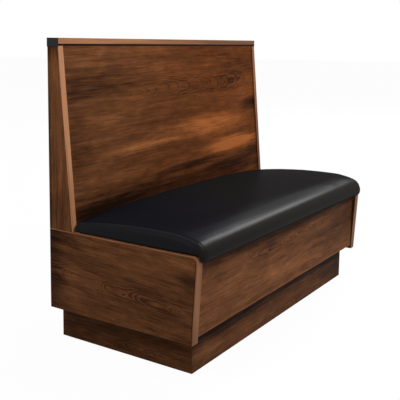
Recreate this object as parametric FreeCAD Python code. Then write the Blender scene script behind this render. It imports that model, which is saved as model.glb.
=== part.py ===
import FreeCAD, Part
import math
import os

Vector = FreeCAD.Vector

# A single restaurant booth. Lengths are millimetres, X runs along the booth, +Y is the rear and Z is up.
# The origin is on the floor, midway along the length and midway between the rear and the seat's nose.
# Depths are measured forwards from the rear plane, and heights from the floor.
booth_length = 1352.0
overall_height = 1067.0
seat_joint_height = 410.0
kick_height = 142.0

# End panels: a lower one with a leaning front edge, and an upper one that narrows upwards.
lower_panel_thickness = 32.0
upper_panel_thickness = 22.0
end_panel_drop = 17.0
end_foot_depth = 599.0
front_lean = 16.0
back_foot_depth = 107.0
back_head_depth = 51.0
end_corner_radius = 17.0
edge_band_thickness = 3.0
edge_ease = 1.2
dowel_radius = 5.0
dowel_length = 60.0
dowel_clearance = 0.1
dowel_depths = (28.0, 78.0)

# Back
back_recess = 5.0
back_panel_thickness = 12.0
rear_panel_thickness = 6.0
stud_thickness = 18.0
stud_names = ("left", "centre", "right")
stud_place_shares = (-0.5, 0.0, 0.5)
top_rail_height = 45.0
sill_thickness = 18.0

# Cap on top of the back
cap_thickness = 20.0
cap_reveal = 7.0
cap_reveal_depth = 8.0
cap_plate_height = 30.0
cap_plate_thickness = 2.5

# Seat box
front_panel_recess = 3.0
front_panel_thickness = 18.0
base_board_thickness = 18.0
rib_thickness = 18.0
rib_place_share = 0.33
rib_top_clearance = 1.5
ledger_thickness = 20.0
ledger_height = 38.0
batten_width = 20.0

# Kick base
kick_end_recess = 61.0
kick_front_recess = 40.0
kick_board_thickness = 18.0
kick_corner_radius = 3.0
stretcher_height = 105.0
corner_block_size = 60.0
corner_block_height = 60.0

# Levelling glides
glide_foot_radius = 16.0
glide_foot_thickness = 6.0
glide_foot_round = 1.5
glide_floor_gap = 0.5
glide_stem_radius = 4.0
glide_stem_length = 45.0
glide_thread_clearance = 0.3
insert_barrel_radius = 5.5
insert_barrel_length = 12.0
insert_flange_radius = 11.0
insert_flange_thickness = 1.5
insert_foot_gap = 1.5
stem_end_gap = 3.0

# Seat
seat_board_drop = 30.0
seat_board_thickness = 18.0
seat_board_setback = 2.0
cover_thickness = 1.2
cover_fit = 0.3
seat_side_clearance = 0.5
seat_back_clearance = 1.0
seat_end_setback = 4.0
seat_end_round = 20.0
end_seam_inset = 26.0
seat_rear_rise = 55.0
seat_rear_round = 14.0
seat_rear_end_drop = 25.0
seat_nose_overhang = 17.0
seat_nose_rise = 25.0
seat_nose_radius = 50.0
seat_nose_turn_degrees = 16.5
seat_nose_end_drop = 2.0
seat_crest_setback = 132.0
seat_crest_slope_degrees = 1.5
seat_lip_setback = 18.0
seat_lip_fall = 26.0
seat_lip_clearance = 6.0
seat_station_shares = (0.0, 0.3, 0.5, 0.65, 0.77, 0.86, 0.93)
seat_end_angles_degrees = (0.0, 25.0, 45.0, 62.0, 76.0, 90.0)
end_drop_power = 3
locating_block_length = 80.0
locating_block_depth = 18.0
locating_block_height = 25.0
locating_block_clearance = 2.0
locating_block_place_share = 0.64

# Underside of the seat
dust_cover_thickness = 0.5
dust_cover_setback = 6.0
staple_margin = 6.0
wrap_margin = 10.0
staple_crown = 10.0
staple_wire = 0.8
staple_leg = 8.0
staple_pitch = 60.0

# Screws
screw_radius = 2.0
screw_head_radius = 4.0
screw_head_height = 2.5
screw_clearance = 0.1
ledger_screw_length = 32.0
base_screw_length = 50.0
end_ledger_screw_shares = (0.1, 0.5, 0.9)
front_ledger_screw_shares = (-0.85, -0.5, 0.0, 0.5, 0.85)
base_screw_shares = (0.15, 0.5, 0.85)

# One overrun serves every cut that has to pass right through.
cut_overrun = 10.0

# Places that several pieces share
half_length = booth_length / 2
end_foot_height = kick_height - end_panel_drop
seat_nose_depth = end_foot_depth + front_lean + seat_nose_overhang
rear_y = seat_nose_depth / 2
head_height = overall_height - cap_thickness - cap_reveal
lower_inner_x = half_length - lower_panel_thickness
upper_inner_x = half_length - upper_panel_thickness
seat_board_base = seat_joint_height - seat_board_drop
seat_nose_height = seat_board_base + seat_nose_rise
seat_rear_height = seat_joint_height + seat_rear_rise
ledger_top = seat_board_base - cover_thickness
ledger_base = ledger_top - ledger_height
box_floor = kick_height + base_board_thickness
dust_cover_base = ledger_top - dust_cover_thickness
staple_setback = locating_block_clearance + locating_block_depth + staple_margin
wrap_reach = staple_setback + wrap_margin
seat_half_length = half_length - seat_end_setback
kick_half_length = half_length - kick_end_recess
kick_depth = end_foot_depth - kick_front_recess
rib_x = rib_place_share * half_length
insert_base = glide_floor_gap + glide_foot_thickness + insert_foot_gap
block_base = insert_base + insert_flange_thickness
glide_x = kick_half_length - kick_board_thickness - corner_block_size / 2


def end_front_depth(height):
    """Depth of the lower end panels' leaning front edge at a height."""
    climb_share = (height - end_foot_height) / (seat_joint_height - end_foot_height)
    return end_foot_depth + front_lean * climb_share


def back_edge_depth(height):
    """Depth of the upper end panels' slanted front edge at a height."""
    climb_share = (height - seat_joint_height) / (head_height - seat_joint_height)
    return back_foot_depth - (back_foot_depth - back_head_depth) * climb_share


def back_face_depth(height):
    """Depth of the back panel's show face at a height."""
    return back_edge_depth(height) - back_recess


def back_inside_depth(height):
    """Depth of the back panel's hidden face at a height."""
    return back_face_depth(height) - back_panel_thickness


front_face_depth = end_foot_depth - front_panel_recess
front_inside_depth = front_face_depth - front_panel_thickness
rear_ledger_depth = back_face_depth(ledger_base) + seat_back_clearance
front_ledger_depth = front_inside_depth - ledger_thickness
well_rear_depth = rear_ledger_depth + ledger_thickness
well_half_length = lower_inner_x - ledger_thickness


def place(x, depth, height):
    """The point at a length, a depth and a height."""
    return Vector(x, rear_y - depth, height)


def side_prism(outline, x_from, x_to):
    """A solid whose outline of depth and height points runs along the length."""
    points = [place(x_from, depth, height) for depth, height in outline]
    face = Part.Face(Part.makePolygon(points + points[:1]))
    return face.extrude(Vector(x_to - x_from, 0, 0))


def plan_prism(outline, base, top):
    """A solid whose outline of length and depth points runs upwards."""
    points = [place(x, depth, base) for x, depth in outline]
    face = Part.Face(Part.makePolygon(points + points[:1]))
    return face.extrude(Vector(0, 0, top - base))


def board(x_from, x_to, depth_from, depth_to, base, top):
    """A square-edged board between two places along each direction."""
    outline = [(depth_from, base), (depth_to, base), (depth_to, top), (depth_from, top)]
    return side_prism(outline, x_from, x_to)


def eased(solid, test):
    """The solid with a small round on each edge that the test picks."""
    edges = [edge for edge in solid.Edges if test(edge)]
    return solid.makeFillet(edge_ease, edges)


def edge_at_x(x):
    """A test for edges that lie wholly at one place along the length."""
    def test(edge):
        box = edge.BoundBox
        return abs(box.XMin - x) < edge_ease / 2 and abs(box.XMax - x) < edge_ease / 2
    return test


def runs_along_length(edge):
    """True for an edge that is parallel to the length."""
    box = edge.BoundBox
    return box.YLength < edge_ease / 2 and box.ZLength < edge_ease / 2


def mirrored(solid):
    """The same piece at the other end of the booth."""
    return solid.mirror(Vector(0, 0, 0), Vector(1, 0, 0))


def save(name, solid):
    """Write one sub-part."""
    solid.exportStep("parts/" + name + ".step")


def save_group(name, solids):
    """Write a group of separate like solids as one sub-part."""
    save(name, Part.makeCompound(solids))


def save_pair(stem, solid):
    """Write a piece of the right end and its mirror image at the left end."""
    save("right_" + stem, solid)
    save("left_" + stem, mirrored(solid))


def wood_screw(head, direction, length, clearance=0):
    """A countersunk screw, or with a clearance the hole that it sits in."""
    head_cone = Part.makeCone(
        screw_head_radius + clearance, screw_radius + clearance, screw_head_height, head, direction)
    shank = Part.makeCylinder(screw_radius + clearance, length + clearance, head, direction)
    return head_cone.fuse(shank)


def drilled(solid, screws):
    """The solid with a hole for each screw, given as head, direction and length."""
    for head, direction, length in screws:
        solid = solid.cut(wood_screw(head, direction, length, screw_clearance))
    return solid


def end_ledger_screws():
    """Places of the screws that hold the right end's ledger."""
    run = front_ledger_depth - well_rear_depth
    depths = [well_rear_depth + share * run for share in end_ledger_screw_shares]
    height = ledger_base + ledger_height / 2
    return [(place(well_half_length, depth, height), Vector(1, 0, 0), ledger_screw_length)
            for depth in depths]


def front_ledger_screws():
    """Places of the screws that hold the front ledger to the front panel."""
    height = ledger_base + ledger_height / 2
    xs = [share * lower_inner_x for share in front_ledger_screw_shares]
    return [(place(x, front_ledger_depth, height), Vector(0, -1, 0), ledger_screw_length) for x in xs]


def base_screws():
    """Places of the screws that hold the base board to the kick stretchers."""
    depths = [share * kick_depth for share in base_screw_shares]
    return [(place(x, depth, box_floor), Vector(0, 0, -1), base_screw_length)
            for x in (-rib_x, rib_x) for depth in depths]


def lower_end_blank(draw_in, x_from, x_to):
    """A lower end panel's shape, drawn in at its front and top edges."""
    top = seat_joint_height - draw_in
    corner_depth = end_front_depth(top) - draw_in
    outline = [(0, end_foot_height), (end_foot_depth - draw_in, end_foot_height), (corner_depth, top),
               (0, top)]
    blank = side_prism(outline, x_from, x_to)
    corner = place((x_from + x_to) / 2, corner_depth, top)
    edges = [edge for edge in blank.Edges if edge.CenterOfMass.distanceToPoint(corner) < edge_ease]
    return blank.makeFillet(end_corner_radius - draw_in, edges)


def upper_end_blank(draw_in, x_from, x_to):
    """An upper end panel's shape, drawn in at its front edge."""
    outline = [(0, seat_joint_height), (back_foot_depth - draw_in, seat_joint_height),
               (back_head_depth - draw_in, head_height), (0, head_height)]
    return side_prism(outline, x_from, x_to)


def dowel_holes():
    """The right end's dowel holes, which run half into each panel."""
    return [dowel(depth, dowel_clearance) for depth in dowel_depths]


def dowel(depth, clearance=0):
    """One dowel across the joint of the right end's panels, or with a clearance its hole."""
    x = half_length - upper_panel_thickness / 2
    base = seat_joint_height - dowel_length / 2 - clearance
    return Part.makeCylinder(dowel_radius + clearance, dowel_length + clearance + clearance,
                             place(x, depth, base), Vector(0, 0, 1))


def split_band(blank_maker, inner_x):
    """A panel and its edge band, cut from one blank with eased edges."""
    whole = blank_maker(0, inner_x, half_length)
    whole = eased(whole, lambda edge: edge_at_x(half_length)(edge) or edge_at_x(inner_x)(edge))
    core = blank_maker(edge_band_thickness, inner_x - cut_overrun, half_length + cut_overrun)
    return whole.common(core), whole.cut(core)


def end_panels():
    """Lower and upper end panels with their bands and dowels, at both ends."""
    lower, lower_band = split_band(lower_end_blank, lower_inner_x)
    upper, upper_band = split_band(upper_end_blank, upper_inner_x)
    for hole in dowel_holes():
        lower = lower.cut(hole)
        lower_band = lower_band.cut(hole)
        upper = upper.cut(hole)
    lower = drilled(lower, end_ledger_screws())
    save_pair("lower_end_panel", lower)
    save_pair("lower_edge_band", lower_band)
    save_pair("upper_end_panel", upper)
    save_pair("upper_edge_band", upper_band)
    dowels = [dowel(depth) for depth in dowel_depths]
    save_group("end_panel_dowels", dowels + [mirrored(solid) for solid in dowels])


def back_fill(height_from, height_to, x_from, x_to):
    """A piece that fills the space between the rear panel and the back panel."""
    outline = [(rear_panel_thickness, height_from), (back_inside_depth(height_from), height_from),
               (back_inside_depth(height_to), height_to), (rear_panel_thickness, height_to)]
    return side_prism(outline, x_from, x_to)


def back_frame():
    """Back panel, rear panels and the framing between them."""
    face = [(back_inside_depth(seat_joint_height), seat_joint_height),
            (back_face_depth(seat_joint_height), seat_joint_height),
            (back_face_depth(head_height), head_height),
            (back_inside_depth(head_height), head_height)]
    save("back_panel", side_prism(face, -upper_inner_x, upper_inner_x))
    save("rear_upper_panel", board(-upper_inner_x, upper_inner_x, 0, rear_panel_thickness,
                                   seat_joint_height, head_height))
    save("rear_lower_panel", board(-lower_inner_x, lower_inner_x, 0, rear_panel_thickness,
                                   kick_height, seat_joint_height))
    rail_base = head_height - top_rail_height
    save("back_top_rail", back_fill(rail_base, head_height, -upper_inner_x, upper_inner_x))
    save("back_sill", board(-lower_inner_x, lower_inner_x, rear_panel_thickness,
                            back_face_depth(seat_joint_height), seat_joint_height - sill_thickness,
                            seat_joint_height))
    for name, share in zip(stud_names, stud_place_shares):
        x = share * upper_inner_x
        save("back_stud_" + name, back_fill(seat_joint_height, rail_base, x - stud_thickness / 2,
                                            x + stud_thickness / 2))
    save_pair("back_end_cleat", back_fill(seat_joint_height, rail_base, upper_inner_x - stud_thickness,
                                          upper_inner_x))


def cap():
    """Cap with its front band, the dark strip under it and the plates on its ends."""
    cap_base = head_height + cap_reveal
    blank = board(-half_length, half_length, 0, back_head_depth, cap_base, overall_height)
    blank = eased(blank, runs_along_length)
    reach = half_length + cut_overrun
    front = board(-reach, reach, back_head_depth - edge_band_thickness, back_head_depth + cut_overrun,
                  head_height, overall_height + cut_overrun)
    save("top_cap", blank.cut(front))
    save("cap_edge_band", blank.common(front))
    save("cap_shadow_strip", board(-half_length, half_length, 0, back_head_depth - cap_reveal_depth,
                                   head_height, cap_base))
    outer_x = half_length + cap_plate_thickness
    plate = board(half_length, outer_x, 0, back_head_depth, overall_height - cap_plate_height, overall_height)
    save_pair("cap_end_plate", eased(plate, edge_at_x(outer_x)))


def rib_outline():
    """Outline of a cross rib, notched for the ledgers and raised under the back's sill."""
    sill_base = seat_joint_height - sill_thickness
    sill_front = back_face_depth(seat_joint_height)
    rib_top = dust_cover_base - rib_top_clearance
    return [(rear_panel_thickness, box_floor), (rear_panel_thickness, sill_base),
            (sill_front, sill_base), (sill_front, ledger_top),
            (rear_ledger_depth, ledger_top), (rear_ledger_depth, ledger_base),
            (well_rear_depth, ledger_base), (well_rear_depth, rib_top),
            (front_ledger_depth, rib_top), (front_ledger_depth, ledger_base),
            (front_inside_depth, ledger_base), (front_inside_depth, box_floor)]


def seat_box():
    """Front panel, base board, ribs, ledgers and corner battens."""
    front = board(-lower_inner_x, lower_inner_x, front_inside_depth, front_face_depth, kick_height, ledger_top)
    save("front_panel", drilled(front, front_ledger_screws()))
    floor = board(-lower_inner_x, lower_inner_x, rear_panel_thickness, front_inside_depth,
                  kick_height, box_floor)
    save("base_board", drilled(floor, base_screws()))
    save_pair("cross_rib", side_prism(rib_outline(), rib_x - rib_thickness / 2, rib_x + rib_thickness / 2))
    save("seat_ledger_rear", board(-lower_inner_x, lower_inner_x, rear_ledger_depth, well_rear_depth,
                                   ledger_base, ledger_top))
    front_ledger = board(-lower_inner_x, lower_inner_x, front_ledger_depth, front_inside_depth,
                         ledger_base, ledger_top)
    save("seat_ledger_front", drilled(front_ledger, front_ledger_screws()))
    end_ledger = board(well_half_length, lower_inner_x, well_rear_depth, front_ledger_depth,
                       ledger_base, ledger_top)
    save_pair("seat_ledger", drilled(end_ledger, end_ledger_screws()))
    right_batten = board(lower_inner_x - batten_width, lower_inner_x, front_inside_depth - batten_width,
                         front_inside_depth, box_floor, ledger_base)
    save_group("front_corner_battens", [right_batten, mirrored(right_batten)])


def kick_base():
    """Mitred kick boards, the rear board between them, stretchers and corner blocks."""
    ring = board(-kick_half_length, kick_half_length, 0, kick_depth, 0, kick_height)
    front_y = place(0, kick_depth - kick_corner_radius, 0).y
    upright_edges = [edge for edge in ring.Edges if edge.BoundBox.ZLength > kick_height / 2]
    corners = [edge for edge in upright_edges if edge.CenterOfMass.y < front_y]
    ring = ring.makeFillet(kick_corner_radius, corners)
    inner_x = kick_half_length - kick_board_thickness
    inner_depth = kick_depth - kick_board_thickness
    front_plan = [(-kick_half_length, kick_depth), (kick_half_length, kick_depth),
                  (inner_x, inner_depth), (-inner_x, inner_depth)]
    side_plan = [(kick_half_length, kick_depth), (inner_x, inner_depth),
                 (inner_x, 0), (kick_half_length, 0)]
    save("kick_front_board", ring.common(plan_prism(front_plan, 0, kick_height)))
    save_pair("kick_side_board", ring.common(plan_prism(side_plan, 0, kick_height)))
    save("kick_rear_board", board(-inner_x, inner_x, 0, kick_board_thickness, 0, kick_height))
    stretcher = board(rib_x - rib_thickness / 2, rib_x + rib_thickness / 2, kick_board_thickness, inner_depth,
                      kick_height - stretcher_height, kick_height)
    save_pair("kick_stretcher", drilled(stretcher, base_screws()))
    blocks = []
    for depth in glide_depths().values():
        block = board(inner_x - corner_block_size, inner_x, depth - corner_block_size / 2,
                      depth + corner_block_size / 2, block_base, block_base + corner_block_height)
        block = block.cut(insert_hole(depth)).cut(stem_hole(depth))
        blocks += [block, mirrored(block)]
    save_group("kick_corner_blocks", blocks)


def glide_depths():
    """Depths of the rear and front glides, centred on their blocks."""
    return {"rear": kick_board_thickness + corner_block_size / 2,
            "front": kick_depth - kick_board_thickness - corner_block_size / 2}


def upright(radius, length, depth, base):
    """An upright cylinder on the line of the right end's glides."""
    return Part.makeCylinder(radius, length, place(glide_x, depth, base), Vector(0, 0, 1))


def insert_hole(depth):
    """The hole in a corner block for the insert's barrel."""
    return upright(insert_barrel_radius, insert_barrel_length, depth, block_base)


def stem_hole(depth):
    """The hole above the insert that the glide's stem runs up into."""
    reach = glide_floor_gap + glide_foot_thickness + glide_stem_length + stem_end_gap - block_base
    return upright(glide_stem_radius + glide_thread_clearance, reach, depth, block_base)


def glides():
    """Levelling glides at rest, screwed fully in, and the inserts that hold them."""
    inserts = []
    for row, depth in glide_depths().items():
        foot = upright(glide_foot_radius, glide_foot_thickness, depth, glide_floor_gap)
        foot = foot.makeFillet(glide_foot_round, [edge for edge in foot.Edges if len(edge.Vertexes) == 1])
        foot_top = glide_floor_gap + glide_foot_thickness
        save_pair("glide_foot_" + row, foot)
        save_pair("glide_stem_" + row, upright(glide_stem_radius, glide_stem_length, depth, foot_top))
        flange = upright(insert_flange_radius, insert_flange_thickness, depth, insert_base)
        barrel = upright(insert_barrel_radius, insert_barrel_length, depth, block_base)
        bore = upright(glide_stem_radius + glide_thread_clearance,
                       insert_flange_thickness + insert_barrel_length, depth, insert_base)
        insert = flange.fuse(barrel).cut(bore)
        inserts += [insert, mirrored(insert)]
    save_group("glide_inserts", inserts)


def turned_arc(start, end, turn):
    """An arc between two points of one section that turns by an angle on its way."""
    chord = end - start
    bulge = chord.Length / 2 * math.tan(turn / 4)
    outward = chord.cross(Vector(1, 0, 0)).normalize()
    middle = (start + end) / 2 + outward * bulge
    return Part.Arc(start, middle, end).toShape()


def seat_section(x, fall_share, draw_in, shrink, base):
    """The seat's outline across its depth: flat under, crowned on top and rolled over in front.

    The fall share lowers the crown towards an end, the draw-in rounds the end and the shrink is
    how far inside the cover the outline lies.
    """
    inset = draw_in + shrink
    turn = math.radians(seat_nose_turn_degrees)
    crest_slope = math.radians(seat_crest_slope_degrees)
    radius = seat_nose_radius - inset
    nose_centre = seat_nose_depth - seat_nose_radius
    rear_top = seat_rear_height - seat_rear_end_drop * fall_share - inset
    rear_low = rear_top - seat_rear_round
    rear_depth = back_face_depth(rear_low) + seat_back_clearance + inset
    nose_top = seat_nose_height + radius * math.cos(turn) - seat_nose_end_drop * fall_share

    under_rear = place(x, back_face_depth(base) + seat_back_clearance + inset, base)
    rear_start = place(x, rear_depth, rear_low)
    rear_shoulder = place(x, rear_depth + seat_rear_round, rear_top)
    crest = place(x, seat_nose_depth - seat_crest_setback, 0)
    nose_start = place(x, nose_centre + radius * math.sin(turn), nose_top)
    crest.z = nose_top + (crest.y - nose_start.y) * math.tan((turn + crest_slope) / 2)
    nose = place(x, seat_nose_depth - inset, seat_nose_height)
    lip = place(x, seat_nose_depth - seat_lip_setback - inset, seat_nose_height - seat_lip_fall + shrink)
    tuck = place(x, front_face_depth + seat_lip_clearance - draw_in + shrink, base)
    climb = math.atan2(crest.z - rear_top, rear_shoulder.y - crest.y)
    lip_slope = math.atan2(lip.y - nose.y, nose.z - lip.z)
    edges = [
        Part.makeLine(under_rear, rear_start),
        turned_arc(rear_start, rear_shoulder, math.pi / 2),
        turned_arc(rear_shoulder, crest, (crest_slope + climb) * 2),
        turned_arc(crest, nose_start, turn - crest_slope),
        turned_arc(nose_start, nose, math.pi / 2 - turn),
        turned_arc(nose, lip, lip_slope * 2),
        Part.makeLine(lip, tuck),
        Part.makeLine(tuck, under_rear)]
    return Part.Wire(edges)


def seat_stations(shrink):
    """Stations along the right half: place, share of the end's fall, and draw-in of the rounded end."""
    straight = seat_half_length - seat_end_round
    stations = [(share * straight, 0) for share in seat_station_shares]
    end_round = seat_end_round - shrink
    for angle in seat_end_angles_degrees:
        turn = math.radians(angle)
        stations.append((straight + end_round * math.sin(turn), end_round * (1 - math.cos(turn))))
    return [(x, (x / seat_half_length) ** end_drop_power, draw_in) for x, draw_in in stations]


def seat_form(shrink, base):
    """The crowned seat between its rounded ends, all round smaller by the shrink, over the end panels."""
    right = seat_stations(shrink)
    left = [(-x, fall_share, draw_in) for x, fall_share, draw_in in reversed(right[1:])]
    sections = [seat_section(x, fall_share, draw_in, shrink, base) for x, fall_share, draw_in in left + right]
    form = Part.makeLoft(sections, True, True)
    gap = seat_side_clearance + shrink
    outer_x = half_length + cut_overrun
    low_notch = board(lower_inner_x - gap, outer_x, -cut_overrun, end_front_depth(seat_joint_height) + gap,
                      kick_height, seat_joint_height + gap)
    high_outline = [(-cut_overrun, seat_joint_height), (back_foot_depth + gap, seat_joint_height),
                    (back_head_depth + gap, head_height), (-cut_overrun, head_height)]
    high_notch = side_prism(high_outline, upper_inner_x - gap, outer_x)
    for notch in (low_notch, high_notch):
        form = form.cut(notch).cut(mirrored(notch))
    return form


def seat_board_block(base, top):
    """A block over the plywood seat board's plan between two heights."""
    x = lower_inner_x - seat_side_clearance - cover_thickness - cover_fit
    rear = back_face_depth(seat_board_base) + seat_back_clearance + cover_thickness + cover_fit
    return board(-x, x, rear, front_face_depth - seat_board_setback, base, top)


def well_block(setback, base, top):
    """A block over the well between the ledgers, a setback inside their edges."""
    x = well_half_length - setback
    return board(-x, x, well_rear_depth + setback, front_ledger_depth - setback, base, top)


def staple(centre, direction):
    """One staple: a crown under the dust cover with two legs up into the board."""
    across = Vector(0, 0, 1).cross(direction)
    rise = Vector(0, 0, staple_leg)
    wire = Vector(0, 0, staple_wire)
    outer = centre - direction * (staple_crown / 2) - across * (staple_wire / 2) - wire
    inner = outer + direction * staple_wire
    far_outer = outer + direction * staple_crown
    far_inner = far_outer - direction * staple_wire
    face = Part.Face(Part.makePolygon([
        outer, far_outer, far_outer + rise, far_inner + rise, far_inner + wire,
        inner + wire, inner + rise, outer + rise, outer]))
    return face.extrude(across * staple_wire)


def staple_places(from_end, to_end):
    """Even places along one row of staples."""
    count = int((to_end - from_end) // staple_pitch)
    step = (to_end - from_end) / count
    return [from_end + step / 2 + index * step for index in range(count)]


def staples():
    """Staples in a row round the underside, through the cover and the dust cover into the board."""
    x_edge = well_half_length - staple_setback
    rear = well_rear_depth + staple_setback
    front = front_ledger_depth - staple_setback
    solids = [staple(place(x, depth, dust_cover_base), Vector(1, 0, 0))
              for x in staple_places(-x_edge, x_edge) for depth in (rear, front)]
    solids += [staple(place(x, depth, dust_cover_base), Vector(0, 1, 0))
               for depth in staple_places(rear, front) for x in (-x_edge, x_edge)]
    return solids


def seat():
    """Drop-in seat: board, crowned foam, sewn cover, dust cover, staples and locating blocks."""
    board_top = seat_board_base + seat_board_thickness
    save("seat_board", seat_board_block(seat_board_base, board_top))
    inner = seat_form(cover_thickness + cover_fit, seat_board_base)
    save("seat_foam", inner.cut(seat_board_block(kick_height, board_top)))
    outer = seat_form(0, ledger_top)
    hollow = seat_form(cover_thickness, seat_board_base)
    window = well_block(wrap_reach, kick_height, board_top)
    cover = outer.cut(hollow).cut(window)
    seam_x = seat_half_length - end_seam_inset
    reach = seat_nose_depth + cut_overrun
    middle = board(-seam_x, seam_x, -cut_overrun, reach, 0, overall_height)
    end = board(seam_x, half_length + cut_overrun, -cut_overrun, reach, 0, overall_height)
    save("seat_cover_top", cover.common(middle))
    save_pair("seat_cover_boxing", cover.common(end))
    save("seat_dust_cover", well_block(dust_cover_setback, dust_cover_base, ledger_top))
    save_group("seat_staples", staples())
    block_front = front_ledger_depth - locating_block_clearance
    block_x = locating_block_place_share * half_length
    block = board(block_x - locating_block_length / 2, block_x + locating_block_length / 2,
                  block_front - locating_block_depth, block_front,
                  dust_cover_base - locating_block_height, dust_cover_base)
    save_group("seat_locating_blocks", [block, mirrored(block)])


def screws():
    """The screws of the ledgers and of the base board."""
    end = end_ledger_screws()
    ledger = [wood_screw(*screw) for screw in end + front_ledger_screws()]
    ledger += [mirrored(wood_screw(*screw)) for screw in end]
    save_group("ledger_screws", ledger)
    save_group("base_screws", [wood_screw(*screw) for screw in base_screws()])


os.makedirs("parts", exist_ok=True)
end_panels()
back_frame()
cap()
seat_box()
kick_base()
glides()
seat()
screws()
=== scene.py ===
import math
import bmesh
import bpy
from mathutils import Matrix, Vector


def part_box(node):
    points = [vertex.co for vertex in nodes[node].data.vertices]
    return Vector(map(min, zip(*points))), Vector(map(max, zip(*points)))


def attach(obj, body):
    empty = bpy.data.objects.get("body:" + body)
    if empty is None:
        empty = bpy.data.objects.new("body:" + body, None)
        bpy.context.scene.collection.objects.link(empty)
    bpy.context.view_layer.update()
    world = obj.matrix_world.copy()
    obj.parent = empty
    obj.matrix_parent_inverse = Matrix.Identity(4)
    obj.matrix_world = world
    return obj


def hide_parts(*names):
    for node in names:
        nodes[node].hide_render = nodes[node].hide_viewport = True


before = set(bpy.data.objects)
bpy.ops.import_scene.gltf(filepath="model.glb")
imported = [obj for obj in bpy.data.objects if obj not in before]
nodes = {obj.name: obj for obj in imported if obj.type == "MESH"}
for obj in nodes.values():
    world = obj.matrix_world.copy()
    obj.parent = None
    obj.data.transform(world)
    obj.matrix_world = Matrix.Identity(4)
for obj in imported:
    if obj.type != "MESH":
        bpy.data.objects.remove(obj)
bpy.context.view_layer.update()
scene = bpy.context.scene

# Studio: a pale floor, a wide soft lamp in front, one high at the right that draws the highlight along the
# seat's roll, a small one at the left for the end panels, and an even white fill.
# The first class wraps a socket, so that sums on it add Math nodes. The second writes node trees.


class Value:
    """A socket of a node tree whose arithmetic adds Math nodes."""

    def __init__(self, shader, socket):
        self.shader = shader
        self.socket = socket

    def math(self, operation, *others, clamp=False):
        inputs = dict(enumerate((self,) + others))
        return self.shader.node("ShaderNodeMath", inputs, operation=operation, use_clamp=clamp)

    def __add__(self, other):
        return self.math("ADD", other)

    def __sub__(self, other):
        return self.math("SUBTRACT", other)

    def __rsub__(self, other):
        return self.math("MULTIPLY", -1.0) + other

    def __mul__(self, other):
        return self.math("MULTIPLY", other)

    def __truediv__(self, other):
        return self.math("DIVIDE", other)

    def __pow__(self, other):
        return self.math("POWER", other)

    __radd__ = __add__
    __rmul__ = __mul__

    def size(self):
        return self.math("ABSOLUTE")

    def lifted(self, low):
        """A value between 0 and 1 moved to lie between a low value and 1."""
        return self * (1.0 - low) + low

    def clamped(self):
        return self.math("ADD", 0.0, clamp=True)

    def centred(self):
        """Noise, which lies about a half, moved to lie about zero."""
        return self - 0.5

    def step(self, low, high):
        """0 below the low value, 1 above the high one, and smooth between."""
        return self.shader.node("ShaderNodeMapRange", {0: self, 1: low, 2: high},
                                interpolation_type="SMOOTHSTEP")


class Shader:
    """A node tree, cleared and then written by calls."""

    def __init__(self, tree):
        self.tree = tree
        tree.nodes.clear()

    def node(self, kind, inputs=None, output=0, stops=None, **settings):
        made = self.tree.nodes.new(kind)
        for name, value in settings.items():
            setattr(made, name, value)
        if stops:
            ramp = made.color_ramp
            for index, (place, colour) in enumerate(stops):
                element = ramp.elements[index] if index < 2 else ramp.elements.new(place)
                element.position = place
                element.color = colour + (1.0,)
        for key, value in (inputs or {}).items():
            if isinstance(value, Value):
                self.tree.links.new(value.socket, made.inputs[key])
            elif isinstance(value, tuple) and len(value) == 3 and made.inputs[key].type == "RGBA":
                made.inputs[key].default_value = value + (1.0,)
            else:
                made.inputs[key].default_value = value
        if made.outputs:
            return Value(self, made.outputs[output])

    def mix(self, factor, first, second, blend="MIX"):
        """A colour between two colours."""
        return self.node("ShaderNodeMix", {0: factor, 6: first, 7: second}, output=2, data_type="RGBA",
                         blend_type=blend)

    def places(self):
        """Where a point lies along X, Y and Z, in metres."""
        coordinates = self.node("ShaderNodeTexCoord", output="Object")
        return self.parts(coordinates)

    def parts(self, vector):
        return [self.node("ShaderNodeSeparateXYZ", {0: vector}, output=axis) for axis in "XYZ"]

    def joined(self, x, y, z):
        return self.node("ShaderNodeCombineXYZ", {0: x, 1: y, 2: z})

    def noise(self, x, y, z, detail=3.0, roughness=0.5):
        """Smooth noise between about 0 and 1 on coordinates that are already scaled."""
        return self.node("ShaderNodeTexNoise", {"Vector": self.joined(x, y, z), "Scale": 1.0,
                                                "Detail": detail, "Roughness": roughness})

    def grain(self, u, v, w, shape, seed=0.0):
        """Noise with a scale along u, a scale across it, a detail and a roughness."""
        along, across, detail, roughness = shape
        return self.noise(u * along + seed, v * across, w * across, detail, roughness)

    def bump(self, height, strength, distance):
        return self.node("ShaderNodeBump", {"Height": height, "Strength": strength, "Distance": distance})

    def surface(self, kind, inputs):
        """Close the tree with one surface shader."""
        self.node("ShaderNodeOutputMaterial", {"Surface": self.node(kind, inputs)})

    def background_seen(self):
        """1 for rays from the camera, from gloss or through glass, and 0 for the light on the booth."""
        camera_ray, glossy_ray, through_ray = [
            self.node("ShaderNodeLightPath", output=kind)
            for kind in ("Is Camera Ray", "Is Glossy Ray", "Is Transmission Ray")]
        return (camera_ray + glossy_ray + through_ray).clamped()


def deselect_all():
    for item in bpy.context.selected_objects:
        item.select_set(False)


def new_material(name):
    made = bpy.data.materials.new(name)
    made.use_nodes = True
    return made, Shader(made.node_tree)


WHITE = (1.0, 1.0, 1.0)
SEAT_MIDDLE = (0.0, -0.1, 0.45)
LAMPS = [("front_lamp", (0.6, -2.7, 3.4), 2.0, 1.4, 100.0),
         ("rim_lamp", (7.2, -0.1, 5.8), 2.4, 2.4, 960.0),
         ("left_lamp", (-2.4, 0.9, 2.4), 1.4, 1.0, 46.0)]
FILL_STRENGTH = 0.36
FLOOR_RADIUS = 40.0
FLOOR_SIDES = 64
FLOOR_PAINT = (0.6, 0.6, 0.6)
FLOOR_GLOW = 0.965

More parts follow.
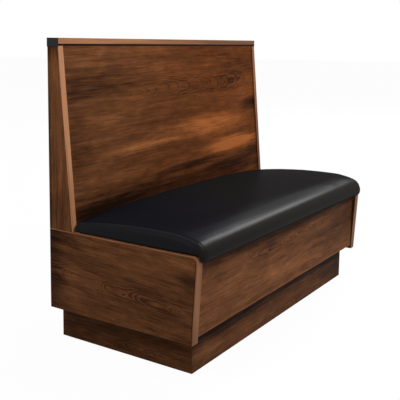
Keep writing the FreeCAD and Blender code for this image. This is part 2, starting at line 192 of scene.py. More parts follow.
for name, place, width, height, watts in LAMPS:
    bpy.ops.object.light_add(type="AREA", location=place)
    lamp = bpy.context.object
    lamp.name = name
    lamp.data.shape = "RECTANGLE"
    lamp.data.size = width
    lamp.data.size_y = height
    lamp.data.energy = watts
    lamp.rotation_euler = (Vector(SEAT_MIDDLE) - Vector(place)).to_track_quat("-Z", "Y").to_euler()

scene.world = bpy.data.worlds.new("studio")
scene.world.use_nodes = True
studio = Shader(scene.world.node_tree)
seen = studio.background_seen()
studio.node("ShaderNodeOutputWorld", {"Surface": studio.node(
    "ShaderNodeBackground", {"Color": WHITE, "Strength": seen + (1.0 - seen) * FILL_STRENGTH})})

deselect_all()
bpy.ops.mesh.primitive_circle_add(vertices=FLOOR_SIDES, radius=FLOOR_RADIUS, fill_type="NGON")
floor = bpy.context.object
floor.name = "studio_floor"
floor_paint, paint = new_material("studio_floor")
paint.surface("ShaderNodeMixShader", {
    0: paint.background_seen() * FLOOR_GLOW,
    1: paint.node("ShaderNodeBsdfDiffuse", {"Color": FLOOR_PAINT}),
    2: paint.node("ShaderNodeEmission", {"Color": WHITE, "Strength": 1.0})})
floor.data.materials.append(floor_paint)

# Camera: it stands before the booth's left front corner, as high as the top of the back, and looks a
# little down. The lens is shifted because the frame is cut below the lens's middle.
LENS = 65.57
LENS_SHIFT = -0.15
EYE = (-2.4718, -1.4611, 1.0647)
YAW = math.radians(57.154)
PITCH = math.radians(7.791)
ROLL = math.radians(0.78)

bpy.ops.object.camera_add(location=EYE)
camera = bpy.context.object
ahead = Vector((math.sin(YAW) * math.cos(PITCH), math.cos(YAW) * math.cos(PITCH), -math.sin(PITCH)))
level = Vector((math.cos(YAW), -math.sin(YAW), 0.0))
upward = level.cross(ahead)
right = level * math.cos(ROLL) + upward * math.sin(ROLL)
up = upward * math.cos(ROLL) - level * math.sin(ROLL)
turn = Matrix((right, up, -ahead)).transposed()
camera.matrix_world = Matrix.Translation(EYE) @ turn.to_4x4()
camera.data.lens = LENS
camera.data.shift_y = LENS_SHIFT
scene.camera = camera
scene.view_settings.view_transform = "Standard"

# Kick base: four boards in a ring, mitred at the front, with two stretchers and four corner blocks inside.
# The boards are faced with stained walnut veneer whose grain runs level, and lacquered to a low sheen.
WOOD_STOPS = [(0.0, (0.012, 0.0044, 0.002)), (1.0, (0.34, 0.135, 0.05)), (0.3, (0.046, 0.0172, 0.0068)),
              (0.55, (0.112, 0.0425, 0.016)), (0.78, (0.2, 0.077, 0.029))]
WOOD_LINE = (0.014, 0.005, 0.0022)
WARM_TINT = (1.06, 0.8, 0.5)
YEARS_PER_METRE = 330.0
# Grain layers: scale along the grain, scale across it, detail and roughness.
SWAY = (2.2, 3.0, 1.0, 0.5)
SWELLING = (6.0, 6.0, 3.0, 0.5)
RIPPLES = (22.0, 40.0, 2.0, 0.5)
CLOUDS = (1.7, 9.0, 2.0, 0.5)
MOTTLE = (14.0, 38.0, 3.0, 0.6)
STREAKS = (3.0, 60.0, 3.0, 0.6)
STRANDS = (5.0, 150.0, 2.0, 0.6)
FIBRES = (12.0, 330.0, 3.0, 0.7)
PORES_ALONG, PORES_ACROSS = 45.0, 1200.0
# How strongly each layer changes the tone.
CLOUD_TONE, MOTTLE_TONE, STREAK_TONE, STRAND_TONE, FIBRE_TONE, RING_TONE = 0.5, 0.4, 0.24, 0.34, 0.6, 0.34
SWAY_REACH = 0.02
RIPPLE_REACH = 0.004
PATCH_RAGGEDNESS = 1.1
PATCH_CORE = 0.05
BEAT_UNREST = 0.02
BEAT_RISE = 0.45
BEAT_SHARE = 0.8
GROUPS_PER_METRE, GROUP_DRIFT = 42.0, 1.5
FAINTEST_RING = 0.25
HEART_HALF_WIDTH = 0.025
LACQUER_ROUGHNESS = 0.42
LACQUER_GLOSS = 0.015


def dress(names, material):
    """Give CAD nodes a finish."""
    for name in names:
        piece = nodes[name]
        piece.data.materials.clear()
        piece.data.materials.append(material)


def patch_tones(u, v, ragged, patches):
    """Broad soft patches, each given as place, height, reach along, spread across and strength."""
    total = 0.0
    for place, height, reach, spread, strength in patches:
        along = (u - place) / reach
        across = (v - height) / spread
        distance = (along * along + across * across).math("SQRT") + ragged
        total = (1.0 - distance.step(PATCH_CORE, 1.0)) * strength + total
    return total


def year_rings(shader, u, v, w, seed, heart, arch, years, unrest, beat, spread):
    """Late wood, 0 to 1, where a sheet cuts a log's rings: arches along a heart line.

    The arch gives how deep under the sheet the log's heart lies at the origin, and how fast that grows.
    A beat, given as pitch and start, makes it grow in steps, each of which shows as a nest of points.
    """
    depth, taper = arch
    swell = shader.grain(u, v, w, SWELLING, seed).centred()
    ripple = shader.grain(u, v, w, RIPPLES, seed).centred()
    across = v - heart
    growth = u
    if beat:
        pitch, start = beat
        count = (u + swell * BEAT_UNREST - start) / pitch
        stairs = count.math("FLOOR") + count.math("FRACT").step(0.0, BEAT_RISE)
        growth = (stairs * BEAT_SHARE + count * (1.0 - BEAT_SHARE)) * pitch + start
    inward = growth * taper + swell * unrest + ripple * RIPPLE_REACH + depth
    radius = (across * across + inward * inward).math("SQRT")
    ring = (radius * years).math("FRACT") ** 2.0
    groups = shader.noise(radius * GROUPS_PER_METRE + seed, u * GROUP_DRIFT, w * GROUP_DRIFT, detail=1.0)
    near_heart = 1.0 - (across.size() + swell * 0.03).step(HEART_HALF_WIDTH, spread)
    return ring * groups.step(0.35, 0.65).lifted(FAINTEST_RING) * near_heart.lifted(FAINTEST_RING)


def veneer(name, choose, heart, arch, seed, lean=0.0, figure=1.0, patches=(), warmth=None, level=0.5,
           lines=None, years=YEARS_PER_METRE, unrest=0.03, beat=None, spread=0.13, fade=None):
    """Stained walnut veneer: year rings, fibres, pores, clouds of tone, and patches, some painted shade and
    light.
    """
    made, shader = new_material(name)
    x, y, z = shader.places()
    u, v, w = choose(x, y, z)
    v = v - u * lean + shader.grain(u, v, w, SWAY, seed).centred() * SWAY_REACH
    clouds, mottle, streaks, strands, fibres = [
        shader.grain(u, v, w, shape, seed) for shape in (CLOUDS, MOTTLE, STREAKS, STRANDS, FIBRES)]
    pores = shader.noise(u * PORES_ALONG, v * PORES_ACROSS + seed, w * PORES_ACROSS, detail=1.0)
    pores = pores.step(0.58, 0.74)
    ring = year_rings(shader, u, v, w, seed, heart, arch, years, unrest, beat, spread) * figure
    if fade:
        ring = ring * u.step(*fade)
    tone = (clouds.centred() * CLOUD_TONE + mottle.centred() * MOTTLE_TONE + streaks.centred() * STREAK_TONE
            + strands.centred() * STRAND_TONE + fibres.centred() * FIBRE_TONE + level - ring * RING_TONE)
    if patches:
        tone = tone + patch_tones(u, v, streaks.centred() * PATCH_RAGGEDNESS, patches)
    colour = shader.node("ShaderNodeValToRGB", {0: tone.clamped()}, stops=WOOD_STOPS)
    colour = shader.mix(ring * 0.35, colour, WOOD_LINE)
    colour = shader.mix(pores * 0.4, colour, WOOD_LINE)
    if warmth:
        colour = shader.mix(warmth(x).clamped(), colour, WARM_TINT, blend="MULTIPLY")
    if lines:
        colour = shader.mix(lines(y, z), colour, WOOD_LINE)
    relief = fibres * 0.5 - pores - ring * 0.3
    shader.surface("ShaderNodeBsdfPrincipled", {
        "Base Color": colour, "Roughness": fibres * 0.2 + LACQUER_ROUGHNESS,
        "Normal": shader.bump(relief, strength=0.3, distance=0.0005), "Specular IOR Level": LACQUER_GLOSS})
    return made


def level_grain(x, y, z):
    """Grain along the booth on boards that face the front or the rear."""
    return x, z, y


def side_grain(x, y, z):
    """Level grain from front to rear on what stands across the booth."""
    return y, z, x


def upright_grain(x, y, z):
    """Grain that climbs, on sheets of either direction."""
    return z, x + y, y - x


# Tone patches on the kick boards. The long dark bands along their tops are painted shade under the
# overhanging front and end panels, and the kick veneers' low levels are painted shade as well.
KICK_FRONT_TONES_AND_SHADE = [
    (-0.1, 0.03, 0.9, 0.06, 0.24), (0.0, 0.145, 3.0, 0.075, -0.7), (0.58, 0.07, 0.3, 0.12, -0.2),
    (-0.52, 0.05, 0.14, 0.05, 0.2)]
KICK_SIDE_TONES_AND_SHADE = [
    (0.0, 0.14, 3.0, 0.05, -0.3), (-0.1, 0.04, 0.2, 0.05, 0.12), (0.28, 0.08, 0.12, 0.1, -0.12)]
dress(["kick_front_board", "kick_rear_board"], veneer(
    "kick_front_veneer", level_grain, 0.02, (0.02, 0.05), 61.0, figure=0.5, level=0.36,
    patches=KICK_FRONT_TONES_AND_SHADE))
dress(["left_kick_side_board", "right_kick_side_board"], veneer(
    "kick_side_veneer", side_grain, 0.03, (0.03, 0.06), 67.0, figure=0.5, level=0.37,
    patches=KICK_SIDE_TONES_AND_SHADE))

PINE_EARLY, PINE_LATE = (0.62, 0.42, 0.21), (0.42, 0.23, 0.09)
PINE_FIBRE = (0.7, 0.52, 0.3)
PINE_KNOT = (0.16, 0.06, 0.02)
PINE_YEARS_PER_METRE = 260.0
PINE_WAVES = (2.0, 5.0, 2.0, 0.5)
PINE_FIBRES = (12.0, 500.0, 3.0, 0.5)
RAW_WOOD_GLOSS = 0.25


def softwood(name, choose, seed):
    """Plain pine for framing: pale, with wide soft rings and a few knots."""
    made, shader = new_material(name)
    u, v, w = choose(*shader.places())
    wave = shader.grain(u, v, w, PINE_WAVES, seed).centred()
    ring = ((v + w * 0.6 + wave * 0.03) * PINE_YEARS_PER_METRE).math("FRACT") ** 2.0
    fibres = shader.grain(u, v, w, PINE_FIBRES)
    knots = 1.0 - shader.node("ShaderNodeTexVoronoi", {
        "Vector": shader.joined(u * 3.0 + seed, v * 9.0, w * 9.0), "Scale": 1.0}).step(0.06, 0.16)
    colour = shader.mix(ring * 0.6, PINE_EARLY, PINE_LATE)
    colour = shader.mix(fibres * 0.3, colour, PINE_FIBRE)
    colour = shader.mix(knots * 0.85, colour, PINE_KNOT)
    shader.surface("ShaderNodeBsdfPrincipled", {
        "Base Color": colour, "Roughness": fibres * 0.2 + 0.55, "Specular IOR Level": RAW_WOOD_GLOSS,
        "Normal": shader.bump(fibres - ring, strength=0.3, distance=0.0004)})
    return made


pine_across = softwood("pine_across", side_grain, 3.0)
pine_upright = softwood("pine_upright", upright_grain, 8.0)
dress(["left_kick_stretcher", "right_kick_stretcher"], pine_across)
dress(["kick_corner_blocks"], pine_upright)

# Seat box: a veneered front panel between the ends, a plywood floor and two plywood cross ribs.
# Pine ledgers are screwed round the top for the seat to lie on, and pine battens fill the front corners.
PLY_FACE, PLY_FIGURE, PLY_FIBRE = (0.52, 0.36, 0.2), (0.4, 0.24, 0.11), (0.6, 0.44, 0.27)
PLY_EDGE_LIGHT, PLY_EDGE_DARK = (0.5, 0.34, 0.19), (0.22, 0.12, 0.055)
PLIES_PER_METRE = 720.0
PLY_WAVES = (1.5, 4.0, 3.0, 0.5)
PLY_FIBRES = (10.0, 420.0, 3.0, 0.5)


def plywood(name, choose):
    """Birch plywood: a pale rotary-cut face, and dark and light plies where an edge shows."""
    made, shader = new_material(name)
    u, v, w = choose(*shader.places())
    wave = shader.grain(u, v, w, PLY_WAVES)
    figure = (wave * 14.0 + v * 6.0).math("FRACT").centred().size() * 2.0
    fibres = shader.grain(u, v, w, PLY_FIBRES)
    face = shader.mix(figure * 0.35, PLY_FACE, PLY_FIGURE)
    face = shader.mix(fibres * 0.25, face, PLY_FIBRE)
    stripe = (w * PLIES_PER_METRE).math("FRACT").step(0.45, 0.55)
    edge = shader.mix(stripe * 0.7, PLY_EDGE_LIGHT, PLY_EDGE_DARK)
    directions = shader.parts(shader.node("ShaderNodeNewGeometry", output="Normal"))
    facing = choose(*directions)[2].size().step(0.6, 0.8)
    shader.surface("ShaderNodeBsdfPrincipled", {
        "Base Color": shader.mix(facing, edge, face), "Roughness": fibres * 0.2 + 0.5,
        "Specular IOR Level": RAW_WOOD_GLOSS,
        "Normal": shader.bump(fibres, strength=0.25, distance=0.0003)})
    return made


def flat_sheet(x, y, z):
    """A sheet that lies flat, with its face grain along the booth."""
    return x, y, z


# Tone patches on the front panel. The long dark band just under the seat's roll is a painted shadow of the
# seat, and the thin pale band along the foot is a painted highlight on the panel's lower edge.
FRONT_TONES_SHADE_AND_HIGHLIGHT = [
    (-0.15, 0.325, 0.09, 0.022, -0.2), (0.02, 0.31, 0.06, 0.015, -0.12), (-0.1, 0.22, 0.3, 0.04, 0.14),
    (0.1, 0.19, 0.25, 0.03, 0.12), (0.35, 0.3, 0.2, 0.03, 0.1), (0.0, 0.365, 1.6, 0.03, -0.3),
    (0.0, 0.142, 1.6, 0.014, 0.16), (0.6, 0.3, 0.12, 0.08, -0.1)]
dress(["front_panel"], veneer(
    "front_veneer", level_grain, 0.318, (0.03, -0.05), 23.0, figure=1.1, level=0.55, fade=(-0.36, -0.24),
    patches=FRONT_TONES_SHADE_AND_HIGHLIGHT))
pine_along = softwood("pine_along", level_grain, 5.0)
floor_ply = plywood("plywood_flat", flat_sheet)
dress(["seat_ledger_front", "seat_ledger_rear"], pine_along)
dress(["left_seat_ledger", "right_seat_ledger"], pine_across)
dress(["front_corner_battens"], pine_upright)
dress(["base_board"], floor_ply)
dress(["left_cross_rib", "right_cross_rib"], plywood("plywood_standing", side_grain))

# End panels: a wide lower panel with level grain and a narrow upper one with upright grain, dowelled
# together. Their front edges carry a thin band of paler solid walnut, glued on with a dark line.
BAND_STOPS = [(0.0, (0.11, 0.042, 0.017)), (1.0, (0.48, 0.225, 0.11)), (0.5, (0.27, 0.112, 0.048))]
BAND_GLOSS = 0.1
BAND_STREAKS_ACROSS = 420.0
BAND_FRONT_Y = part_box("left_lower_edge_band")[0].y
JOINT_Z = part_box("left_lower_end_panel")[1].z
FRONT_LEAN = 0.05614
GLUE_LINE = 0.0032
GLUE_LINE_STRENGTH = 0.75


def climbing(x, y, z):
    """Along a band that climbs and then runs level to the rear, and across it."""
    return y + z, x


def upper_painted_shade(x, z):
    """Painted shade on the lippings: darker to the right of the back and at the foot of the upper bands."""
    to_the_right = x.step(-0.75, 0.75)
    at_the_foot = 1.0 - z.step(0.42, 0.9)
    return to_the_right * 0.62 + at_the_foot * 0.32 - 0.12


def lower_painted_shade_and_tone(x, y, z):
    """Painted shade where the lower bands lie level under the seat; they are darker at foot and right too.
    """
    at_joint = z.step(JOINT_Z - 0.0045, JOINT_Z - 0.0015)
    behind_front = y.step(BAND_FRONT_Y + 0.03, BAND_FRONT_Y + 0.09)
    at_the_foot = 1.0 - z.step(0.12, 0.24)
    to_the_right = x.step(-0.6, 0.6)
    return at_joint * behind_front * 0.1 + at_the_foot * 0.2 + to_the_right * 0.14


def edge_wood(name, follow, seed, level, shade):
    """Solid lipping with straight streaks along the edge that it covers."""
    made, shader = new_material(name)
    x, y, z = shader.places()
    u, v = follow(x, y, z)
    across = v * BAND_STREAKS_ACROSS
    streaks = shader.noise(u * 5.0 + seed, across, seed, detail=3.0, roughness=0.65)
    slow = shader.noise(u * 2.0 + seed, across * 0.2, seed, detail=2.0)
    # The shade given by the caller darkens the tone: it is painted shade on the lippings.
    tone = streaks.centred() * 0.8 + slow.centred() * 0.6 + level - shade(x, y, z)
    shader.surface("ShaderNodeBsdfPrincipled", {
        "Base Color": shader.node("ShaderNodeValToRGB", {0: tone.clamped()}, stops=BAND_STOPS),
        "Roughness": streaks * 0.2 + LACQUER_ROUGHNESS, "Specular IOR Level": BAND_GLOSS,
        "Normal": shader.bump(streaks, strength=0.25, distance=0.0004)})
    return made


def lower_glue_line(y, z):
    """Dark where the lower end's face meets its band along the leaning front."""
    front_y = (JOINT_Z - z) * FRONT_LEAN + BAND_FRONT_Y
    return (1.0 - (y - front_y).step(GLUE_LINE, GLUE_LINE * 2.4)) * GLUE_LINE_STRENGTH


LOWER_PATCHES = [
    (0.24, 0.37, 0.12, 0.05, -0.16), (-0.02, 0.33, 0.2, 0.05, 0.1), (-0.27, 0.34, 0.06, 0.05, -0.18),
    (0.2, 0.18, 0.12, 0.03, 0.12), (-0.1, 0.16, 0.2, 0.04, 0.08), (0.28, 0.22, 0.05, 0.06, -0.1),
    (0.34, 0.27, 0.12, 3.0, -0.24)]
# Patches on the upper end panels. The dark bands at the top, just under the cap, are painted shade from it.
UPPER_TONES_AND_SHADE = [
    (1.05, -0.4, 0.07, 0.3, -0.3), (1.05, 0.9, 0.07, 0.3, -0.3), (0.48, -0.4, 0.12, 0.3, -0.12),
    (0.48, 0.9, 0.12, 0.3, -0.12), (0.75, -0.35, 3.0, 0.035, -0.26), (0.75, 1.0, 3.0, 0.035, -0.26)]
for side, heart, seed in (("left", 0.5, 11.0), ("right", -0.5, 17.0)):
    dress([side + "_lower_end_panel"], veneer(
        side + "_lower_veneer", side_grain, 0.242, (0.038, 0.075), seed, lean=0.055, figure=0.95, level=0.49,
        years=270.0, unrest=0.01, beat=(0.148, -0.24), patches=LOWER_PATCHES, lines=lower_glue_line))
    dress([side + "_upper_end_panel"], veneer(
        side + "_upper_veneer", upright_grain, heart, (0.3, 0.02), seed + 3.0, figure=0.3, level=0.5,
        patches=UPPER_TONES_AND_SHADE))
# The upper bands are darkened towards the right and the foot by painted shade.
dress(["left_upper_edge_band", "right_upper_edge_band"],
      edge_wood("upper_lipping", climbing, 5.0, 0.79, lambda x, y, z: upper_painted_shade(x, z)))
dress(["left_lower_edge_band", "right_lower_edge_band"],
      edge_wood("lower_lipping", climbing, 14.0, 0.3, lower_painted_shade_and_tone))

BEECH, BEECH_FLECK = (0.6, 0.38, 0.2), (0.44, 0.25, 0.12)
beech, shader = new_material("beech")
x, y, z = shader.places()
flecks = shader.noise(x * 900.0, y * 900.0, z * 90.0)
shader.surface("ShaderNodeBsdfPrincipled", {
    "Base Color": shader.mix(flecks, BEECH, BEECH_FLECK), "Roughness": flecks * 0.2 + 0.5})
dress(["end_panel_dowels"], beech)

# Back: one slanted veneered board with level grain, on pine studs, cleats, a top rail and a sill.
# Two thin veneered sheets close the rear, the upper one with upright grain.
# Tone patches on the back. The long dark band at height 0.47 and the one at 0.475 on the left are painted
# shade where the seat meets the back.
BACK_TONES_AND_SHADE = [
    (-0.5, 0.92, 0.45, 0.09, -0.24), (-0.5, 0.99, 0.16, 0.014, 0.2), (0.1, 1.0, 0.7, 0.05, -0.1),
    (-0.47, 0.79, 0.16, 0.026, 0.14), (-0.25, 0.665, 0.36, 0.03, 0.4), (0.42, 0.588, 0.32, 0.05, 0.8),
    (0.25, 0.695, 0.5, 0.07, 0.42), (0.65, 0.755, 0.16, 0.04, -0.48), (0.62, 0.52, 0.12, 0.035, -0.3),
    (0.0, 0.47, 1.6, 0.07, -0.34), (0.1, 0.54, 0.3, 0.026, -0.4), (-0.36, 0.575, 0.26, 0.045, 0.14),
    (-0.62, 0.72, 0.1, 0.28, -0.14), (0.55, 0.94, 0.35, 0.07, -0.14), (0.35, 0.5, 0.3, 0.025, -0.3),
    (-0.5, 0.475, 0.3, 0.06, -0.4)]


def warm_to_the_right(x):
    """The stain looks greyer at the left of the back and more orange at the right."""
    return x.step(-0.7, 0.4) * 0.85 + 0.1


dress(["back_panel"], veneer(
    "back_veneer", level_grain, 0.872, (0.056, 0.085), 3.0, lean=0.028, figure=1.5, level=0.55, years=170.0,
    unrest=0.014, beat=(0.078, 0.0), spread=0.06, fade=(-0.36, -0.16), patches=BACK_TONES_AND_SHADE,
    warmth=warm_to_the_right))
dress(["rear_lower_panel"], veneer(
    "rear_lower_veneer", level_grain, 0.26, (0.05, 0.06), 41.0, level=0.46))
dress(["rear_upper_panel"], veneer(
    "rear_upper_veneer", upright_grain, 0.3, (-0.02, 0.09), 43.0, level=0.46))
dress(["back_top_rail", "back_sill"], pine_along)
dress(["back_stud_left", "back_stud_centre", "back_stud_right", "left_back_end_cleat",
       "right_back_end_cleat"], pine_upright)

# Cap: a veneered board along the top of the back with a pale band on its front edge.
# It stands on a recessed filler strip coloured near black, which is painted shade in the thin shadow line
# under the cap, and black plates close its two ends.
dress(["top_cap"], veneer("cap_veneer", flat_sheet, 0.4, (0.3, 0.01), 47.0, figure=0.3, level=0.52))
# The cap's lipping takes the same painted shade, darker towards the right.
dress(["cap_edge_band"], edge_wood(
    "cap_lipping", lambda x, y, z: (x, z), 9.0, 0.61, lambda x, y, z: upper_painted_shade(x, z)))


def plain_finish(name, first, second, roughness, metallic=0.0, specular=0.5, size=700.0):
    """A finish of two near tones in fine speckle, with a roughness that varies a little."""
    made, shader = new_material(name)
    x, y, z = shader.places()
    speckle = shader.noise(x * size, y * size, z * size)
    broad = shader.noise(x * 14.0, y * 14.0, z * 14.0)
    shader.surface("ShaderNodeBsdfPrincipled", {
        "Base Color": shader.mix(speckle * 0.6 + broad * 0.4, first, second), "Metallic": metallic,
        "Roughness": broad * 0.15 + roughness, "Specular IOR Level": specular,
        "Normal": shader.bump(speckle, strength=0.2, distance=0.0002)})
    return made


# The filler's near-black colour is painted shade in the reveal under the cap.
dress(["cap_shadow_strip"], plain_finish(
    "dark_filler", (0.012, 0.007, 0.005), (0.03, 0.016, 0.01), 0.6, specular=0.1))
dress(["left_cap_end_plate", "right_cap_end_plate"], plain_finish(
    "black_plate", (0.006, 0.0055, 0.0055), (0.013, 0.011, 0.0105), 0.42, specular=0.12))

# Levelling glides, screws and staples: zinc-plated steel, with grey nylon for the feet of the glides.
# The stems turn in the threaded inserts that are pressed into the corner blocks.
zinc = plain_finish("zinc_plate", (0.52, 0.53, 0.55), (0.66, 0.66, 0.64), 0.28, metallic=1.0, size=260.0)
nylon = plain_finish("grey_nylon", (0.09, 0.09, 0.095), (0.12, 0.12, 0.125), 0.45, specular=0.4)
for side in ("left", "right"):
    for row in ("front", "rear"):
        dress([side + "_glide_stem_" + row], zinc)
        dress([side + "_glide_foot_" + row], nylon)
dress(["glide_inserts", "ledger_screws", "base_screws", "seat_staples"], zinc)

# Seat: foam on a plywood board in a cover of black vinyl, which is sewn from a top panel that rolls over
# the front and a boxing panel at each end. The foam is cut a little large, so the cover stands taut.
SKIN_NODES = ("seat_foam", "seat_cover_top", "left_seat_cover_boxing", "right_seat_cover_boxing")
VOXEL = 0.008
MERGE_DISTANCE = 0.00001
SEAM_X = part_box("seat_cover_top")[1].x
SEAT_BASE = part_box("seat_cover_top")[0].z
BOARD_LOW, BOARD_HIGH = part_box("seat_board")
BASE_BAND = 0.006
FACES_DOWN, FACES_REAR = -0.5, 0.5
START_SHRINK = 0.001
MOST_SWELL = 0.0015
SWELL_STEPS = 20
EVENING_STEPS = 14
SEAM_REACH = VOXEL * 0.8
SEAM_GRIP = 0.85
OPEN_GRIP = 0.02
VINYL_CLOTH = {"quality": 4, "mass": 0.4, "tension_stiffness": 20.0, "compression_stiffness": 20.0,
               "shear_stiffness": 8.0, "bending_stiffness": 2.0, "use_pressure": True,
               "uniform_pressure_force": 4.0, "vertex_group_mass": "grip"}

form = bmesh.new()
for name in SKIN_NODES + ("seat_board",):
    form.from_mesh(nodes[name].data)
bmesh.ops.remove_doubles(form, verts=form.verts, dist=MERGE_DISTANCE)
mesh = bpy.data.meshes.new("seat_cushion")
form.to_mesh(mesh)
form.free()
cushion = bpy.data.objects.new("seat_cushion", mesh)
scene.collection.objects.link(cushion)
deselect_all()
bpy.context.view_layer.objects.active = cushion
cushion.select_set(True)


def apply_modifier(piece, kind, **settings):
    """Add one modifier to a piece and apply it."""
    modifier = piece.modifiers.new("shaping", kind)
    for name, value in settings.items():
        setattr(modifier, name, value)
    bpy.ops.object.modifier_apply(modifier=modifier.name)


def linked_islands(form):
    """The separate closed skins of a mesh, the smallest first."""
    waiting = set(form.verts)
    islands = []
    while waiting:
        reached = [waiting.pop()]
        island = []
        while reached:
            vertex = reached.pop()
            island.append(vertex)
            for edge in vertex.link_edges:
                other = edge.other_vert(vertex)
                if other in waiting:
                    waiting.remove(other)
                    reached.append(other)
        islands.append(island)
    return sorted(islands, key=len)


def held(point, normal):
    """True where the cushion lies on the box or close against the back and the end panels."""
    return normal.z < FACES_DOWN or normal.y > FACES_REAR or point.z < SEAT_BASE + BASE_BAND


def limited(amount, low=0.0, high=1.0):
    return max(low, min(high, amount))


apply_modifier(cushion, "REMESH", mode="VOXEL", voxel_size=VOXEL)
form = bmesh.new()
form.from_mesh(cushion.data)
inner = [vertex for island in linked_islands(form)[:-1] for vertex in island]
bmesh.ops.delete(form, geom=inner, context="VERTS")
form.to_mesh(cushion.data)
form.free()

rest = [vertex.co.copy() for vertex in cushion.data.vertices]
normals = [vertex.normal.copy() for vertex in cushion.data.vertices]
pinned = [held(point, normal) for point, normal in zip(rest, normals)]

grip = cushion.vertex_groups.new(name="grip")
for index, (point, fixed) in enumerate(zip(rest, pinned)):
    near_seam = abs(abs(point.x) - SEAM_X) < SEAM_REACH
    grip.add([index], 1.0 if fixed else SEAM_GRIP if near_seam else OPEN_GRIP, "REPLACE")
    if not fixed:
        cushion.data.vertices[index].co = point - normals[index] * START_SHRINK
cloth = cushion.modifiers.new("filling", "CLOTH")
for name, value in VINYL_CLOTH.items():
    setattr(cloth.settings, name, value)
cloth.settings.effector_weights.gravity = 0.0
cloth.collision_settings.use_collision = False
for step in range(1, SWELL_STEPS + 1):
    scene.frame_set(step)
bpy.ops.object.modifier_apply(modifier=cloth.name)
swell = [limited((vertex.co - point).dot(normal), -START_SHRINK, 0.0 if fixed else MOST_SWELL)
         for vertex, point, normal, fixed in zip(cushion.data.vertices, rest, normals, pinned)]
neighbours = [[] for point in rest]
for edge in cushion.data.edges:
    first, second = edge.vertices
    neighbours[first].append(second)
    neighbours[second].append(first)
for step in range(EVENING_STEPS):
    swell = [0.0 if fixed else (amount + sum(swell[other] for other in around)) / (1 + len(around))
             for amount, around, fixed in zip(swell, neighbours, pinned)]
for vertex, point, normal, amount in zip(cushion.data.vertices, rest, normals, swell):
    vertex.co = point + normal * amount
cushion.vertex_groups.clear()

# The roll at the front is soft, so its curve is evened out.
ROLL_Y = -0.2
ROLL_FADE = 0.05
ROLL_STEPS = 10
ROLL_EASE = 0.5
roll = cushion.vertex_groups.new(name="roll")
for vertex, fixed in zip(cushion.data.vertices, pinned):
    share = limited((ROLL_Y - vertex.co.y) / ROLL_FADE)
    roll.add([vertex.index], 0.0 if fixed else share, "REPLACE")
apply_modifier(cushion, "SMOOTH", factor=ROLL_EASE, iterations=ROLL_STEPS, vertex_group="roll")
cushion.vertex_groups.clear()

# It also hangs a little lower at the right than at the left.
LIE_SLOPE = 0.007
LIE_FADE = 0.05
OVERHANG_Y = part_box("front_panel")[0].y
OVERHANG_FADE = 0.015
for vertex in cushion.data.vertices:
    below = 1.0 - (vertex.co.z - JOINT_Z) / LIE_FADE
    before = (OVERHANG_Y - vertex.co.y) / OVERHANG_FADE
    share = limited(min(below, before))
    vertex.co.z -= LIE_SLOPE * vertex.co.x * share * share * (3.0 - 2.0 * share)

apply_modifier(cushion, "SUBSURF", levels=1, render_levels=1)

# The cover is drawn tight round the board's edges at the rear and at both ends, which squares them.
EDGE_REACH = 0.009
COVER_THICKNESS = BOARD_LOW.z - SEAT_BASE
END_X = BOARD_HIGH.x + COVER_THICKNESS - EDGE_REACH
END_Y = BOARD_HIGH.y + COVER_THICKNESS - EDGE_REACH
for vertex in cushion.data.vertices:
    place = vertex.co
    past = (abs(place.x) - END_X, place.y - END_Y, SEAT_BASE + EDGE_REACH - place.z)
    most = max(past)
    in_edge = sum(reach > 0.0 for reach in past) > 1 and most < EDGE_REACH
    if in_edge and place.y > BOARD_LOW.y and place.z < BOARD_HIGH.z + EDGE_REACH:
        pull = [max(0.0, reach) * (EDGE_REACH / most - 1.0) for reach in past]
        vertex.co += Vector((math.copysign(pull[0], place.x), pull[1], -pull[2]))

# The top panel and the boxing are sewn face to face, which leaves a shallow valley at each end.
SEAM_HALF_WIDTH = 0.004
SEAM_DEPTH = 0.0011
SEAM_CUTS = (-0.004, -0.002, -0.0008, 0.0, 0.0008, 0.002, 0.004)
SEAM_SNAP = 0.0002
UNDERSIDE = -0.6

form = bmesh.new()
form.from_mesh(cushion.data)
for side in (-1.0, 1.0):
    for offset in SEAM_CUTS:
        place = side * SEAM_X + offset
        faces = [face for face in form.faces if abs(face.calc_center_median().x - place) < VOXEL]
        edges = {edge for face in faces for edge in face.edges}
        verts = {vertex for face in faces for vertex in face.verts}
        bmesh.ops.bisect_plane(form, geom=faces + list(edges) + list(verts), dist=SEAM_SNAP,
                               plane_co=(place, 0.0, 0.0), plane_no=(1.0, 0.0, 0.0))
form.normal_update()
for vertex in form.verts:
    near = 1.0 - abs(abs(vertex.co.x) - SEAM_X) / SEAM_HALF_WIDTH
    if near > 0.0 and vertex.normal.z > UNDERSIDE:
        vertex.co -= vertex.normal * (SEAM_DEPTH * near ** 1.5)
form.to_mesh(cushion.data)
form.free()
cushion.data.shade_smooth()

# Its vinyl has a fine cell print and a soft sheen that fades where it is seen at a low angle. It is bluer
# at the left than at the right. It is painted paler on the boxing and down the front of the roll, which is
# painted light, and darker in the seam valleys, which is painted shade.
VINYL_BLUE, VINYL_PLAIN = (0.0038, 0.004, 0.0064), (0.0078, 0.0069, 0.0068)
VINYL_BOXING_PAINTED_LIGHT = (0.01, 0.0102, 0.0115)
VINYL_PAINTED_LIGHT = (0.0128, 0.0115, 0.01)
VINYL_SEAM_SHADE = (0.003, 0.003, 0.004)
CELLS_PER_METRE = 850.0
PAINTED_LIGHT_FRONT = (-0.306, -0.288)
SHEEN_ROUGHNESS = 0.32
SHEEN_GLOSS = 0.01
LOW_ANGLE = (0.6, 0.79)
LOW_ANGLE_FADE = 0.86

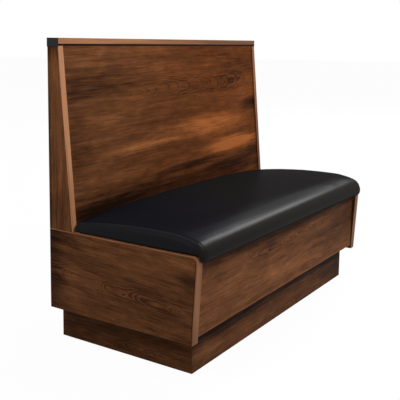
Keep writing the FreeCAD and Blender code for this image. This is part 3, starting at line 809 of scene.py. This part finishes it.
vinyl, shader = new_material("black_vinyl")
x, y, z = shader.places()
cells = shader.node("ShaderNodeTexVoronoi", {"Vector": shader.joined(x, y, z), "Scale": CELLS_PER_METRE},
                    feature="SMOOTH_F1")
handling = shader.noise(x * 6.0, y * 6.0, z * 6.0, detail=3.0)
fine = shader.noise(x * 260.0, y * 260.0, z * 260.0, detail=2.0)
in_seam = 1.0 - (x.size() - SEAM_X).size().step(0.0004, 0.0016)
plain = x.step(-0.65, 0.05) * 0.8 + handling * 0.2
# Painted light: the boxing is made paler.
lit_boxing = x.size().step(SEAM_X, SEAM_X + 0.006)
# Painted light: paler down the front of the roll, less so towards the right.
painted_light_front = (1.0 - y.step(*PAINTED_LIGHT_FRONT)) * (1.0 - x.step(-0.2, 0.7) * 0.45)
colour = shader.mix(plain, VINYL_BLUE, VINYL_PLAIN)
colour = shader.mix(lit_boxing, colour, VINYL_BOXING_PAINTED_LIGHT)
colour = shader.mix(painted_light_front, colour, VINYL_PAINTED_LIGHT)
# Painted shade in the seam valleys.
colour = shader.mix(in_seam * 0.5, colour, VINYL_SEAM_SHADE)
bump = shader.bump(cells * 0.7 + fine * 0.3, strength=0.22, distance=0.0003)
low_angle = shader.node("ShaderNodeLayerWeight", {"Blend": 0.5}, output="Facing").step(*LOW_ANGLE)
sheen = shader.node("ShaderNodeBsdfPrincipled", {
    "Base Color": colour, "Roughness": handling * 0.06 + SHEEN_ROUGHNESS, "Normal": bump,
    "Specular IOR Level": SHEEN_GLOSS})
matt = shader.node("ShaderNodeBsdfDiffuse", {"Color": colour, "Normal": bump})
shader.surface("ShaderNodeMixShader", {0: low_angle * LOW_ANGLE_FADE, 1: sheen, 2: matt})
cushion.data.materials.append(vinyl)
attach(cushion, "seat")
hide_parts(*SKIN_NODES)
dress(["seat_board"], floor_ply)
dress(["seat_locating_blocks"], pine_along)

# Underside of the seat: a sheet of thin black cloth drawn tight over the cover's turned-in edges and
# stapled all round, so it lies flat at the edges and sinks a little between them.
CLOTH_LOW, CLOTH_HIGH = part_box("seat_dust_cover")
CLOTH_CUTS = 40
CLOTH_SAG = 0.0007
CLOTH_THICKNESS = 0.0004
WAVE_LEVEL, WAVE_DEPTH = 0.6, 0.4
WAVES_ALONG, WAVES_SKEW, WAVES_ACROSS = 21.0, 3.0, 13.0

deselect_all()
bpy.ops.mesh.primitive_grid_add(x_subdivisions=CLOTH_CUTS * 2, y_subdivisions=CLOTH_CUTS, size=1.0)
dust_cloth = bpy.context.object
dust_cloth.name = "seat_dust_cloth"
middle = (CLOTH_LOW + CLOTH_HIGH) / 2
width = CLOTH_HIGH.x - CLOTH_LOW.x
length = CLOTH_HIGH.y - CLOTH_LOW.y
for vertex in dust_cloth.data.vertices:
    along = vertex.co.x * 2.0
    across = vertex.co.y * 2.0
    slack = (1.0 - along ** 6) * (1.0 - across ** 4)
    ripple = math.sin(along * WAVES_ALONG + across * WAVES_SKEW) * math.cos(across * WAVES_ACROSS)
    vertex.co = (middle.x + along * width / 2, middle.y + across * length / 2,
                 CLOTH_HIGH.z - CLOTH_SAG * slack * (WAVE_LEVEL + WAVE_DEPTH * ripple))
apply_modifier(dust_cloth, "SOLIDIFY", thickness=CLOTH_THICKNESS, offset=-1.0)
dust_cloth.data.shade_smooth()
dust_cloth.data.materials.append(plain_finish(
    "black_lining", (0.012, 0.012, 0.013), (0.035, 0.035, 0.037), 0.8, specular=0.1, size=1600.0))
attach(dust_cloth, "seat")
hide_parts("seat_dust_cover")
